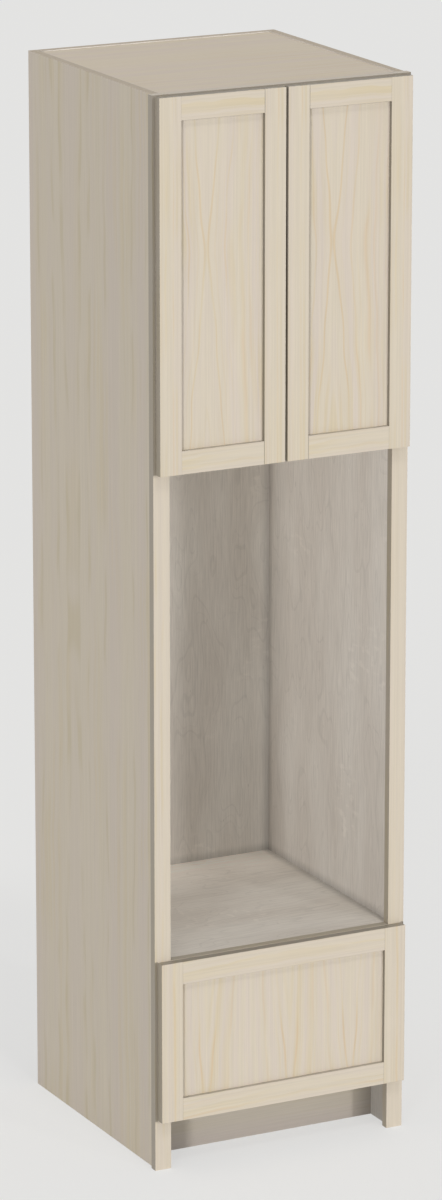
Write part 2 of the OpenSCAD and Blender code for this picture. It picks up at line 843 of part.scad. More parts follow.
module slide_inner() {
    color(steel) on_both() difference() {
        at_slide() member() inner_profile();
        inner_screws(true);
    }
}

module slide_middle_left() { on_left() slide_middle(); }
module slide_middle_right() { on_right() slide_middle(); }

// All the screws in the drawer: its front and its slide members
module drawer_screws() {
    color(zinc) {
        front_screws();
        on_both() inner_screws();
    }
}

side_left();
side_right();
top_panel();
upper_deck();
oven_deck();
bottom_panel();
back_panel();
hang_rails();
toe_board();
toe_blocks();
oven_cleats();
stile_left();
stile_right();
rail_top();
rail_middle();
rail_drawer();
rail_bottom();
shelf_lower();
shelf_upper();
shelf_pins();
door_left_hinge_stile();
door_left_meeting_stile();
door_left_top_rail();
door_left_bottom_rail();
door_left_panel();
door_left_bumpers();
door_right_hinge_stile();
door_right_meeting_stile();
door_right_top_rail();
door_right_bottom_rail();
door_right_panel();
door_right_bumpers();
hinge_cups_left();
hinge_cup_pins_left();
hinge_cup_screws_left();
hinge_links_left();
hinge_cups_right();
hinge_cup_pins_right();
hinge_cup_screws_right();
hinge_links_right();
hinge_arms();
hinge_arm_pins();
case_screws();
drawer_front_left_stile();
drawer_front_right_stile();
drawer_front_top_rail();
drawer_front_bottom_rail();
drawer_front_panel();
drawer_bumpers();
drawer_side_left();
drawer_side_right();
drawer_box_front();
drawer_box_back();
drawer_bottom();
slide_packers();
slide_fixed();
slide_middle_left();
slide_middle_right();
slide_inner();
drawer_screws();
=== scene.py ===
"""Looks of a tall oven housing: clear pale maple on the fronts, frame, sides and top,
greyer birch plywood inside, a dovetailed maple drawer box, nickel-plated hinges, and
zinc-plated slides and cross-head screws. Lengths are in metres."""

import math

import bmesh
import bpy
import numpy as np
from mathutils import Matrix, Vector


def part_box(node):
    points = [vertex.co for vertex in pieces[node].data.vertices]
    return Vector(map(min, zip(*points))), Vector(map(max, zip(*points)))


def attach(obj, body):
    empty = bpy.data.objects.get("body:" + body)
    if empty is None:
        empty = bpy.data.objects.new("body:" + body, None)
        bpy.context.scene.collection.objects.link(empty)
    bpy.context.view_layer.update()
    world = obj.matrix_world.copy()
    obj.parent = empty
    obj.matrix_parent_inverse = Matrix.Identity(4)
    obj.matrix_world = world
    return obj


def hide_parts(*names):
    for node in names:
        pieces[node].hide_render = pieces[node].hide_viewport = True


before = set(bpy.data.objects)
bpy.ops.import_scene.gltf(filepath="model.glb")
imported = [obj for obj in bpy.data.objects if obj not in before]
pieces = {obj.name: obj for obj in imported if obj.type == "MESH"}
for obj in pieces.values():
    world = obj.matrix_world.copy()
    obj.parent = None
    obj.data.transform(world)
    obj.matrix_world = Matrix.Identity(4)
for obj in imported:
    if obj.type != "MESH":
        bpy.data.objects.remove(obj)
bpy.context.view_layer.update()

X, Y, Z = 0, 1, 2
LOW, HIGH = 0, 1
MM = 0.001


def end_of(node, side, axis):
    """Where a piece ends along an axis, on its LOW or its HIGH side."""
    return float(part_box(node)[side][axis])


def third(one, other):
    """The axis that is left beside two others."""
    return X + Y + Z - one - other


# Faces of the case and of the fronts
LEFT_WALL = end_of("side_left", HIGH, X)
RIGHT_WALL = end_of("side_right", LOW, X)
BACK_WALL = end_of("back_panel", LOW, Y)
TOE_TOP = end_of("bottom_panel", LOW, Z)
OVEN_FLOOR = end_of("oven_deck", HIGH, Z)
OVEN_TOP = end_of("upper_deck", LOW, Z)
CUPBOARD_FLOOR = end_of("upper_deck", HIGH, Z)
CUPBOARD_TOP = end_of("top_panel", LOW, Z)
FRONTS_SIDE = end_of("door_right_hinge_stile", HIGH, X)
DOORS_FOOT = end_of("door_right_hinge_stile", LOW, Z)
DOORS_TOP = end_of("door_right_hinge_stile", HIGH, Z)
DRAWER_FOOT = end_of("drawer_front_left_stile", LOW, Z)
DRAWER_TOP = end_of("drawer_front_left_stile", HIGH, Z)


# ---------------------------------------------------------------- finishing recipes


def paint(red, green, blue):
    """A colour given in the 0 to 255 numbers of a colour card, as linear light."""
    tones = [value / 255 for value in (red, green, blue)]
    return (*[t / 12.92 if t < 0.04045 else ((t + 0.055) / 1.055) ** 2.4 for t in tones], 1.0)


class Finish:
    """A material being built up step by step. Every step takes numbers or earlier steps.
    xyz is a point of the piece, and facing is the way its surface faces there."""

    def __init__(self, name):
        self.material = bpy.data.materials.new(name)
        self.material.use_nodes = True
        self.tree = self.material.node_tree
        self.tree.nodes.clear()
        source = self.tree.nodes.new("ShaderNodeTexCoord")
        self.place = source.outputs["Object"]
        self.xyz = self.split(self.place)
        self.facing = self.split(source.outputs["Normal"])

    def step(self, kind, inputs, output=0, **settings):
        """One node of the material: its kind, what goes in, and its settings."""
        node = self.tree.nodes.new(kind)
        for name, value in settings.items():
            setattr(node, name, value)
        for socket, value in inputs.items():
            if isinstance(value, bpy.types.NodeSocket):
                self.tree.links.new(value, node.inputs[socket])
            else:
                node.inputs[socket].default_value = value
        return node.outputs[output] if node.outputs else None

    def split(self, vector):
        """The three numbers of a place or a direction."""
        node = self.tree.nodes.new("ShaderNodeSeparateXYZ")
        self.tree.links.new(vector, node.inputs[0])
        return node.outputs

    def math(self, operation, a, b=0.0):
        return self.step("ShaderNodeMath", {0: a, 1: b}, operation=operation)

    def add(self, a, b):
        return self.math("ADD", a, b)

    def times(self, a, b):
        return self.math("MULTIPLY", a, b)

    def rest(self, value):
        """1 less a value."""
        return self.math("SUBTRACT", 1.0, value)

    def size(self, value):
        """A value without its sign."""
        return self.math("ABSOLUTE", value)

    def larger(self, a, b):
        return self.math("MAXIMUM", a, b)

    def point(self, a, b, c):
        return self.step("ShaderNodeCombineXYZ", {0: a, 1: b, 2: c})

    def stretch(self, *parts):
        """A place made of three numbers. A part that is a pair is a number and what it is
        multiplied by, so a tone is short along a large factor and long along a small one."""
        return self.point(*[self.times(*part) if isinstance(part, tuple) else part
                            for part in parts])

    def fade(self, value, low, high, start=0.0, end=1.0):
        """start below low, end above high, and a soft step between."""
        return self.step(
            "ShaderNodeMapRange",
            {"Value": value, "From Min": low, "From Max": high, "To Min": start, "To Max": end},
            interpolation_type="SMOOTHSTEP",
        )

    def vary(self, tone, least, most):
        """A number that follows a soft random tone from least to most."""
        return self.fade(tone, 0.3, 0.7, least, most)

    def cloud(self, vector, detail=2.0, rough=0.5, scale=1.0):
        """Soft random tone from 0 to 1 over a place."""
        return self.step(
            "ShaderNodeTexNoise",
            {"Vector": vector, "Scale": scale, "Detail": detail, "Roughness": rough},
        )

    def bands(self, value, scale=1.0, detail=1.0):
        """Soft random tone from 0 to 1 along one number."""
        return self.step(
            "ShaderNodeTexNoise",
            {"W": value, "Scale": scale, "Detail": detail, "Roughness": 0.5},
            noise_dimensions="1D",
        )

    def blend(self, share, a, b, how="MIX"):
        return self.step(
            "ShaderNodeMix", {0: share, 6: a, 7: b}, output=2, data_type="RGBA", blend_type=how
        )

    def tint(self, colour, shares):
        """colour with each of its red, green and blue multiplied by a share."""
        return self.blend(1.0, colour, (*shares, 1.0), how="MULTIPLY")

    def shade(self, colour, tone):
        """colour times a grey tone."""
        return self.blend(1.0, colour, self.point(tone, tone, tone), how="MULTIPLY")

    def relief(self, height, depth, strength=1.0):
        return self.step(
            "ShaderNodeBump", {"Height": height, "Distance": depth, "Strength": strength}
        )

    def close(self, colour, roughness, normal, **constants):
        """Ends the recipe in one shader, whose plain numbers are set on it directly."""
        inputs = {"Base Color": colour, "Roughness": roughness, "Normal": normal}
        inputs.update({name.replace("_", " "): value for name, value in constants.items()})
        shader = self.step("ShaderNodeBsdfPrincipled", inputs)
        self.step("ShaderNodeOutputMaterial", {"Surface": shader})
        return self.material


def dress(node, material):
    """Gives a piece one material all over."""
    slots = pieces[node].data.materials
    slots.clear()
    slots.append(material)


# ---------------------------------------------------------------- solid maple

CREAM = paint(216, 206, 189)
ROSE = paint(214, 203, 192)
HONEY = paint(213, 198, 163)
PEACH = paint(213, 191, 158)
VENEER_LINE = paint(203, 191, 163)

# How a board lies in the tree. hearts says how far the pith lies from its middle, and how
# far it moves on from each place where the next of its glued boards starts. pith is its
# depth below the face, and sway and wave are how far and how often it wanders. The figure
# is narrowest at waist, over a length of about neck, and opens by taper. marks are single
# rings: radius and width in millimetres, and strength. honey and rose are the strengths of
# those zones, and broad is how many of the rose ones there are in a millimetre. rings,
# thin and line are how many thin rings there are, their strength and their colour.
MAPLE_CUT = {"seed": 1.0, "hearts": [(None, 0.09)], "pith": 0.06, "sway": 0.012, "wave": 1.0,
             "waist": 0.0, "neck": 0.1, "taper": 0.02, "marks": [], "honey": 0.5,
             "broad": 0.03, "rose": 0.8, "rings": 0.13, "thin": 0.38, "line": HONEY}

# Steps that keep the random tones of boards, zones and thin rings apart
BOARD_STEP, ZONE_STEP, THIN_STEP = 37.0, 410.0, 800.0

# The boards of the face frame and the painted shade of their narrow edges, and how much
# painted shadow darkens the frame in its margins beside the fronts
FRAME_EDGE_PAINTED_SHADE = {"stile_left": 0.53, "stile_right": 0.60, "rail_top": 1.0, "rail_middle": 0.53,
               "rail_drawer": 0.72, "rail_bottom": 0.53}
MARGIN_PAINTED_SHADOW = 0.54


def ring_place(wood, across, depth, along, cut):
    """How far out from the pith a point lies, in millimetres of the tree. The pith line
    sways and runs a little below the face. At the waist of the figure it dips, and the
    rings near it close up like an hourglass, while those further out stay straight."""
    seed, wave, swing = cut["seed"], cut["wave"], cut["sway"]
    slow = wood.cloud(
        wood.stretch((across, 4.0), (depth, 4.0),
                     wood.add(wood.times(along, 2.2 * wave), seed)), detail=1.0)
    quick = wood.cloud(
        wood.stretch((across, 16.0), (depth, 16.0),
                     wood.add(wood.times(along, 8.0 * wave), seed + 7.0)), detail=0.0)
    sway = wood.add(wood.times(wood.add(slow, -0.5), swing),
                    wood.times(wood.add(quick, -0.5), swing * 0.5))
    side = wood.add(across, sway)
    for start, step in cut["hearts"]:
        beyond = 1.0 if start is None else wood.math("GREATER_THAN", across, start)
        side = wood.add(side, wood.times(beyond, -step))
    below = wood.add(depth, cut["pith"])
    radius = wood.math("SQRT", wood.add(wood.times(side, side), wood.times(below, below)))
    stem = wood.add(along, -cut["waist"])
    bend = wood.math("SQRT", wood.add(wood.times(stem, stem), cut["neck"] ** 2))
    near = wood.math("DIVIDE", 1.0, wood.add(wood.times(wood.times(side, side), 200.0), 1.0))
    bend = wood.times(wood.times(bend, near), -cut["taper"])
    return wood.times(wood.add(radius, bend), 1 / MM)


def maple_tone(wood, across, depth, along, cut):
    """Colour and height of sawn maple: a cream ground with cloudy rose and honey zones,
    thin faint rings, a few marked ones, and long fibres."""
    seed = cut["seed"]
    place = ring_place(wood, across, depth, along, cut)
    here = wood.add(place, BOARD_STEP * seed)
    rose = wood.fade(wood.bands(here, cut["broad"]), 0.38, 0.64, 0.0, cut["rose"])
    colour = wood.blend(rose, CREAM, ROSE)
    drift = wood.cloud(wood.stretch((across, 9.0), seed, (along, 2.4)), detail=1.0)
    zone = wood.times(wood.fade(wood.bands(wood.add(here, ZONE_STEP), 0.06), 0.40, 0.62),
                      wood.fade(drift, 0.46, 0.66, 0.0, cut["honey"]))
    colour = wood.blend(zone, colour, HONEY)
    rings = wood.bands(wood.add(here, THIN_STEP), cut["rings"], detail=0.0)
    thin = wood.fade(rings, 0.58, 0.74, 0.0, cut["thin"])
    comes = wood.cloud(wood.stretch((here, 0.03), (along, 4.5), seed), detail=1.0)
    colour = wood.blend(wood.times(thin, wood.fade(comes, 0.42, 0.60)), colour, cut["line"])
    warm = wood.blend(wood.fade(comes, 0.45, 0.60), HONEY, PEACH)
    for radius, width, strength in cut["marks"]:
        mark = wood.fade(wood.size(wood.add(place, -radius)), 0.0, width, strength, 0.0)
        mark = wood.times(mark, wood.fade(comes, 0.30, 0.62, 0.2, 1.0))
        colour = wood.blend(mark, colour, warm)
    fibre = wood.cloud(wood.stretch((across, 420.0), (depth, 420.0), (along, 9.0)),
                       detail=3.0, rough=0.6)
    streak = wood.cloud(wood.stretch((across, 260.0), (depth, 260.0), (along, 1.3)),
                        detail=1.0)
    tone = wood.add(wood.vary(fibre, 0.97, 1.015), wood.vary(streak, -0.022, 0.022))
    return wood.shade(colour, tone), fibre


def grain_places(wood, node, grain, face):
    """The three places of a point in a board, from the board's middle: across the grain,
    in from the face, and along the grain."""
    low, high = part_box(node)
    middle = (low + high) / 2
    return [wood.add(wood.xyz[axis], -middle[axis]) for axis in (third(grain, face), face, grain)]


def painted_edge_shade(wood, colour, along, face, grain, edge, end, inner):
    """Painted shade: darkens the narrow edges of a board and its end grain by the way they
    face. inner is for the boards round a recessed panel: the way their inner edge faces
    (+1 or -1), its place, half the length of the opening beside it, and its painted shade
    or painted light. A thin line of painted shade lies along that edge on the face too."""
    flat = wood.fade(wood.size(wood.facing[face]), 0.35, 0.85)
    tone = wood.fade(wood.size(wood.facing[grain]), 0.5, 0.9, edge, end)
    if inner:
        way, place, half, painted_inner_tone = inner
        cross = third(grain, face)
        towards = wood.fade(wood.times(wood.facing[cross], way), 0.2, 0.38, 1.0, painted_inner_tone)
        tone = wood.times(tone, towards)
        flat = wood.fade(wood.size(wood.facing[face]), 0.93, 0.97)
        # A thin line of painted shade on the face along the inner edge
        from_edge = wood.size(wood.add(wood.xyz[cross], -place))
        line = wood.fade(from_edge, 0.6 * MM, 1.2 * MM, 0.70, 1.0)
        past_opening = wood.fade(wood.size(along), half, half + 0.5 * MM)
        flat = wood.times(flat, wood.larger(line, past_opening))
    return wood.shade(colour, wood.add(wood.times(flat, wood.rest(tone)), tone))


def painted_margin_shadow(wood, colour):
    """Painted shadow: darkens the face frame in the narrow margins that the doors and the
    drawer front stand beside."""
    side, height = wood.size(wood.xyz[X]), wood.xyz[Z]
    shadow_margin = wood.fade(side, FRONTS_SIDE - 1.45 * MM, FRONTS_SIDE + 0.15 * MM)
    by_doors = wood.fade(height, DOORS_FOOT - 2.75 * MM, DOORS_FOOT + 1.25 * MM)
    by_drawer = wood.times(
        wood.fade(height, DRAWER_FOOT - 3.3 * MM, DRAWER_FOOT + 0.2 * MM),
        wood.fade(height, DRAWER_TOP - 0.25 * MM, DRAWER_TOP + 2.75 * MM, 1.0, 0.0))
    over_doors = wood.fade(height, DOORS_TOP - 0.8 * MM, DOORS_TOP + 0.2 * MM)
    shadow_margin = wood.larger(wood.times(shadow_margin, wood.larger(by_doors, by_drawer)), over_doors)
    front = wood.fade(wood.times(wood.facing[Y], -1.0), 0.7, 0.9)
    return wood.shade(colour, wood.rest(wood.times(wood.times(shadow_margin, front), MARGIN_PAINTED_SHADOW)))


def painted_border_light(wood, colour, across, along, opening):
    """Painted light: brightens a recessed panel a little towards its frame, most of all
    along the top, against the shade that falls there. opening is its visible half width and
    half height."""
    half_width, half_height = opening
    lift = wood.fade(wood.add(wood.size(across), -half_width), -10 * MM, 0.0, 1.0, 1.12)
    top = wood.fade(wood.add(along, -half_height), -15 * MM, -2 * MM, 1.0, 1.10)
    return wood.shade(colour, wood.larger(lift, top))


def solid_maple(node, grain, face=Y, edge=0.86, end=0.76, inner=None, opening=None, **cut):
    """A lacquered board of solid maple. edge and end are the painted shade of its narrow
    edges and of its end grain, and cut holds what differs from MAPLE_CUT."""
    wood = Finish(f"maple_{node}")
    across, depth, along = grain_places(wood, node, grain, face)
    colour, fibre = maple_tone(wood, across, depth, along, {**MAPLE_CUT, **cut})
    # Painted shade on the edges, painted light at a panel's border, and painted shadow in the
    # face frame's margins beside the fronts
    colour = painted_edge_shade(wood, colour, along, face, grain, edge, end, inner)
    if opening:
        colour = painted_border_light(wood, colour, across, along, opening)
    if node in FRAME_EDGE_PAINTED_SHADE:
        colour = painted_margin_shadow(wood, colour)
    bump = wood.relief(fibre, 0.05 * MM, 0.5)
    dress(node, wood.close(colour, wood.vary(fibre, 0.46, 0.40), bump, Specular_IOR_Level=0.35))


# ---------------------------------------------------------------- plywood

GREY_BIRCH = paint(224, 219, 213)
GREY_LIGHT = paint(231, 227, 221)
GREY_DARK = paint(212, 205, 197)
PLY_LIGHT = paint(212, 200, 182)
PLY_DARK = paint(184, 167, 144)

# How far the painted shade in a corner reaches, and how deep it is
CORNER_PAINTED_SHADE = 24 * MM, 0.24


def birch_tone(wood, across, depth, along, seed):
    """Colour of rotary-cut birch with a matt clear coat: cloudy figure with the nested
    outlines that a rotary knife leaves, a few curly patches, short dark flecks and fine
    fibres."""
    broad = wood.cloud(wood.stretch((across, 7.0), seed, (along, 1.9)), rough=0.55)
    colour = wood.blend(wood.fade(broad, 0.36, 0.66), GREY_DARK, GREY_LIGHT)
    colour = wood.blend(0.5, colour, GREY_BIRCH)
    outline = wood.bands(wood.times(broad, 60.0))
    curl = wood.cloud(wood.stretch((across, 30.0), seed + 5.0, (along, 55.0)))
    patch = wood.cloud(wood.stretch((across, 5.0), seed + 9.0, (along, 4.0)), detail=0.0)
    curl = wood.times(wood.fade(curl, 0.52, 0.68, 0.0, 0.09), wood.fade(patch, 0.58, 0.70))
    bent = wood.add(across, wood.times(broad, 20 * MM))
    fibre = wood.cloud(wood.stretch((bent, 300.0), (depth, 300.0), (along, 12.0)),
                       detail=3.0, rough=0.65)
    fleck = wood.cloud(wood.stretch((across, 190.0), seed + 3.0, (along, 40.0)), detail=1.0)
    tone = wood.add(wood.vary(fibre, 0.91, 1.05), curl)
    tone = wood.times(tone, wood.fade(outline, 0.58, 0.72, 1.0, 0.935))
    tone = wood.times(tone, wood.fade(fleck, 0.72, 0.80, 1.0, 0.80))
    return wood.shade(colour, tone), fibre


def painted_corner_shade(wood, colour, planes):
    """Painted shade: darkens a board towards the lines where others meet it, or, as
    painted light, brightens it where the depth is below 0. planes holds the axis and the
    place of each of those lines, and may add how far the painted shade reaches and how deep
    it is."""
    tone = 1.0
    for axis, place, *more in planes:
        reach, depth = more or CORNER_PAINTED_SHADE
        away = wood.size(wood.add(wood.xyz[axis], -place))
        tone = wood.times(tone, wood.rest(wood.fade(away, 0.0, reach, depth, 0.0)))
    return wood.shade(colour, tone) if planes else colour


def ply_edge(wood, depth, thick, colour, sheets):
    """Colour where a sheet of plywood is cut: thin layers, light and dark by turns."""
    layer = wood.times(wood.add(depth, thick / 2), sheets / thick)
    turn = wood.math("PINGPONG", layer, 1.0)
    ply = wood.blend(wood.fade(turn, 0.35, 0.65), PLY_LIGHT, PLY_DARK)
    ply = wood.shade(ply, wood.vary(wood.cloud(wood.place, scale=260.0), 0.92, 1.04))
    cut = wood.fade(wood.size(depth), thick / 2 - 0.7 * MM, thick / 2 - 0.4 * MM, 1.0, 0.0)
    return wood.blend(cut, colour, ply)


def plywood(node, grain, face, seed, sheets=11, stain=None, outside=0, veneer=None,
            corners=(), inner=0, recess=(), foot=None, **cut):
    """A plywood board of thin sheets. Its faces are pale birch, with a stain, apart from
    the one that faces outside, +1 or -1 along the face axis, which is maple veneer, with
    a tint. corners are the planes of the compartments' corners, whose painted shade falls
    on both faces or on the inner one, +1 or -1. recess holds planes whose painted shade
    falls on every side, and foot is the height below which the birch has painted shade, in
    the toe space."""
    thick = end_of(node, HIGH, face) - end_of(node, LOW, face)
    wood = Finish(f"plywood_{node}")
    across, depth, along = grain_places(wood, node, grain, face)
    colour, fibre = birch_tone(wood, across, depth, along, seed)
    # Painted shade in the corners of the compartments
    shaded = painted_corner_shade(wood, colour, corners)
    if inner:
        is_inner = wood.math("GREATER_THAN", wood.times(depth, inner), 0.0)
        shaded = wood.blend(is_inner, colour, shaded)
    colour = shaded
    # Painted shade in the toe space, below the height foot
    if foot:
        colour = wood.shade(colour, wood.fade(wood.xyz[Z], foot - 4 * MM, foot, 0.62, 1.0))
    if stain:
        colour = wood.tint(colour, stain)
    if outside:
        maple_cut = {**MAPLE_CUT, "seed": seed, **cut}
        maple = maple_tone(wood, across, 0.0, along, maple_cut)[0]
        towards = wood.times(depth, outside)
        shows = wood.fade(towards, thick / 2 - 0.4 * MM, thick / 2 - 0.2 * MM)
        colour = wood.blend(shows, colour, wood.tint(maple, veneer))
    colour = ply_edge(wood, depth, thick, colour, sheets)
    # Painted shade that recess lays on every side
    colour = painted_corner_shade(wood, colour, recess)
    bump = wood.relief(fibre, 0.04 * MM, 0.5)
    dress(node, wood.close(colour, wood.vary(fibre, 0.55, 0.46), bump, Specular_IOR_Level=0.3))


# ---------------------------------------------------------------- fronts and face frame


def opening_of(front):
    """Half the width and half the height of the panel that shows inside a front."""
    halves = []
    for axis, kind in ((X, "_stile"), (Z, "_rail")):
        pair = [node for node in pieces if node.startswith(front) and node.endswith(kind)]
        starts = min(end_of(node, HIGH, axis) for node in pair)
        stops = max(end_of(node, LOW, axis) for node in pair)
        halves.append((stops - starts) / 2)
    return halves


# Hourglass figure in the door panels, and arches in the three glued boards of the drawer's
PANEL = {"pith": 0.006, "sway": 0.020, "wave": 1.3, "neck": 0.03, "end": 0.8}
DOOR_PANEL = {**PANEL, "hearts": [(None, -0.033)], "waist": 0.064, "taper": 0.12, "thin": 0.22,
              "marks": [(1.0, 3.8, 0.64), (40.0, 4.2, 0.52), (77.0, 9.0, 0.5), (96.0, 4.0, 0.4)]}
DRAWER_PANEL = {**PANEL, "hearts": [(None, -0.183), (-0.090, 0.199), (0.094, 0.152)],
                "waist": -0.21, "taper": 0.09, "thin": 0.12, "honey": 0.4,
                "marks": [(0.5, 4.2, 0.78), (14.0, 3.4, 0.36), (45.0, 6.0, 0.4)]}
for front, seed, figure in (("door_left", 3.0, DOOR_PANEL), ("door_right", 3.4, DOOR_PANEL),
                            ("drawer_front", 8.0, DRAWER_PANEL)):
    solid_maple(f"{front}_panel", Z, seed=seed, opening=opening_of(front), **figure)

# Straight grain in the stiles and rails, with a marked ring or two in those of the fronts,
# and painted shade on their narrow edges and end grain
STRAIGHT = {"hearts": [(None, 0.060)], "pith": 0.03, "sway": 0.014, "taper": 0.0, "rose": 0.45,
            "honey": 0.25, "edge": 0.53, "end": 0.53}
FRONT_STILE = {**STRAIGHT, "marks": [(58.0, 3.0, 0.45), (84.0, 2.4, 0.3)]}
FRONT_RAIL = {**STRAIGHT, "marks": [(62.0, 6.0, 0.5)], "wave": 3.2, "taper": 0.16}
RAIL_HONEY = {"door_left": 0.6, "door_right": 0.6, "drawer_front": 0.3}
# Painted shade and painted light on the inner edges of the stiles and rails round a panel
SHADED_EDGE, LIT_EDGE = 0.66, 1.3


def front_board(front, part, number):
    """A stile or a rail of a front. Its inner edge is the one towards the panel."""
    node = f"{front}_{part}"
    grain = Z if part.endswith("stile") else X
    cross = third(grain, Y)
    half_width, half_height = opening_of(front)
    if end_of(node, LOW, cross) < end_of(f"{front}_panel", LOW, cross):
        way, place = 1, end_of(node, HIGH, cross)
    else:
        way, place = -1, end_of(node, LOW, cross)
    if grain == Z:
        half, figure = half_height, FRONT_STILE
    else:
        half, figure = half_width, {**FRONT_RAIL, "honey": RAIL_HONEY[front]}
    painted_inner_tone = LIT_EDGE if part == "bottom_rail" else SHADED_EDGE
    solid_maple(node, grain, seed=11.0 + 2.3 * number, waist=0.03 * number - 0.1,
                inner=(way, place, half, painted_inner_tone), **figure)


for front in RAIL_HONEY:
    for number, part in enumerate(("hinge_stile", "meeting_stile", "left_stile", "right_stile",
                                   "top_rail", "bottom_rail")):
        if f"{front}_{part}" in pieces:
            front_board(front, part, number)

for number, (node, edge) in enumerate(FRAME_EDGE_PAINTED_SHADE.items()):
    solid_maple(node, Z if node.startswith("stile") else X, seed=51.0 + 3.1 * number,
                **{**STRAIGHT, "edge": edge, "end": 1.0})


# ---------------------------------------------------------------- case and drawer box

# The planes where the boards of each compartment meet, along which painted shade lies in
# the corners
WALLS = [(X, LEFT_WALL), (X, RIGHT_WALL)]
REAR = [(Y, BACK_WALL)]
DECKS = [(Z, OVEN_FLOOR), (Z, OVEN_TOP), (Z, CUPBOARD_FLOOR), (Z, CUPBOARD_TOP)]
# Painted shade and painted light: the walls of the oven bay are painted a little darker
# towards its deck and brighter towards its top, and the deck is painted brighter towards
# the rear
BAY_WALLS_PAINTED_SHADE_AND_LIGHT = [(Z, OVEN_FLOOR, 0.40, 0.075), (Z, OVEN_TOP, 0.70, -0.12)]
BAY_REAR_PAINTED_LIGHT = [(Y, BACK_WALL, 0.24, -0.28)]
# Painted shadow at the two ends of the toe board, deeper and wider at the right
TOE_ENDS_PAINTED_SHADOW = [(X, LEFT_WALL, 20 * MM, 0.2), (X, RIGHT_WALL, 60 * MM, 0.45)]

SIDE = {"veneer": (0.86, 0.86, 0.86), "sway": 0.03, "broad": 0.016, "honey": 0.35,
        "rings": 0.055, "thin": 0.55, "line": VENEER_LINE,
        "corners": REAR + DECKS + BAY_WALLS_PAINTED_SHADE_AND_LIGHT, "foot": TOE_TOP}
plywood("side_left", Z, X, seed=2.0, outside=-1, **SIDE)
plywood("side_right", Z, X, seed=4.0, outside=1, stain=(0.975, 0.97, 0.965), **SIDE)
plywood("top_panel", X, Z, seed=6.0, outside=1, veneer=(1.11, 1.08, 1.04), honey=0.3,
        broad=0.02, thin=0.1, corners=WALLS + REAR)
plywood("upper_deck", X, Z, seed=9.0, corners=WALLS + REAR)
plywood("oven_deck", X, Z, seed=12.0, corners=WALLS + BAY_REAR_PAINTED_LIGHT, stain=(1.13, 1.13, 1.12))
plywood("bottom_panel", X, Z, seed=15.0, corners=WALLS + REAR)
plywood("back_panel", Z, Y, seed=18.0, sheets=3, corners=WALLS + DECKS + BAY_WALLS_PAINTED_SHADE_AND_LIGHT,
        inner=-1, stain=(1.08, 1.08, 1.07))
plywood("hang_rails", X, Y, seed=21.0, sheets=7)
plywood("shelf_lower", X, Z, seed=24.0)
plywood("shelf_upper", X, Z, seed=27.0)
plywood("toe_board", X, Y, seed=36.0, outside=-1, veneer=(0.77, 0.78, 0.815), thin=0.12,
        recess=TOE_ENDS_PAINTED_SHADOW)
for node, grain in {"toe_blocks": Z, "oven_cleats": Y, "slide_packers": Y}.items():
    solid_maple(node, grain, face=X, edge=0.95, seed=33.0)

plywood("drawer_bottom", X, Z, seed=30.0, sheets=3)
for number, (node, grain) in enumerate({"drawer_side_left": Y, "drawer_side_right": Y,
                                        "drawer_box_front": X, "drawer_box_back": X}.items()):
    solid_maple(node, grain, face=third(grain, Z), edge=0.95, end=0.80,
                seed=71.0 + 4.0 * number, hearts=[(None, 0.03)], pith=0.05, taper=0.06)


# ---------------------------------------------------------------- hardware


def plated(name, colour, rough, drawn=None, cloudiness=0.04):
    """Plated metal: a cloudy coat, and fine draw lines along one axis where it was
    rolled or drawn."""
    metal = Finish(name)
    grain = 0.012 if drawn is None else 0.03
    fineness = [18.0 if axis == drawn else 1600.0 for axis in (X, Y, Z)]
    lines = metal.cloud(metal.stretch(*zip(metal.xyz, fineness)))
    cloud = metal.cloud(metal.place, detail=3.0, scale=160.0)
    tone = metal.add(metal.vary(cloud, 1.0 - cloudiness, 1.0 + cloudiness),
                     metal.vary(lines, -grain, grain))
    return metal.close(metal.shade(colour, tone),
                       metal.vary(lines, rough - grain, rough + 1.5 * grain),
                       metal.relief(lines, 0.004 * MM, 13 * grain), Metallic=1.0)


def clear_pad():
    """Soft clear plastic of the bumpers, a little dusty."""
    pad = Finish("bumper_clear")
    dust = pad.cloud(pad.place, scale=700.0)
    colour = pad.blend(pad.fade(dust, 0.4, 0.7), paint(226, 226, 222), paint(212, 212, 206))
    return pad.close(colour, pad.vary(dust, 0.22, 0.4), pad.relief(dust, 0.03 * MM),
                     IOR=1.48, Transmission_Weight=0.45)


nickel = plated("nickel_plate", paint(214, 210, 202), 0.24)
hinge_steel = plated("nickel_pressed", paint(205, 202, 196), 0.30, drawn=Z)
slide_steel = plated("zinc_rolled", paint(196, 200, 204), 0.36, drawn=Y, cloudiness=0.05)
zinc = plated("zinc_plate", paint(201, 203, 206), 0.34, cloudiness=0.08)
bumper = clear_pad()
for material, nodes in (
        (nickel, ("hinge_cups_left", "hinge_cups_right")),
        (hinge_steel, ("hinge_arms", "hinge_links_left", "hinge_links_right")),
        (slide_steel, ("slide_fixed", "slide_middle_left", "slide_middle_right",
                       "slide_inner")),
        (zinc, ("shelf_pins", "hinge_arm_pins", "hinge_cup_pins_left",
                "hinge_cup_pins_right")),
        (bumper, ("door_left_bumpers", "door_right_bumpers", "drawer_bumpers"))):
    for node in nodes:
        dress(node, material)


# ---------------------------------------------------------------- screws


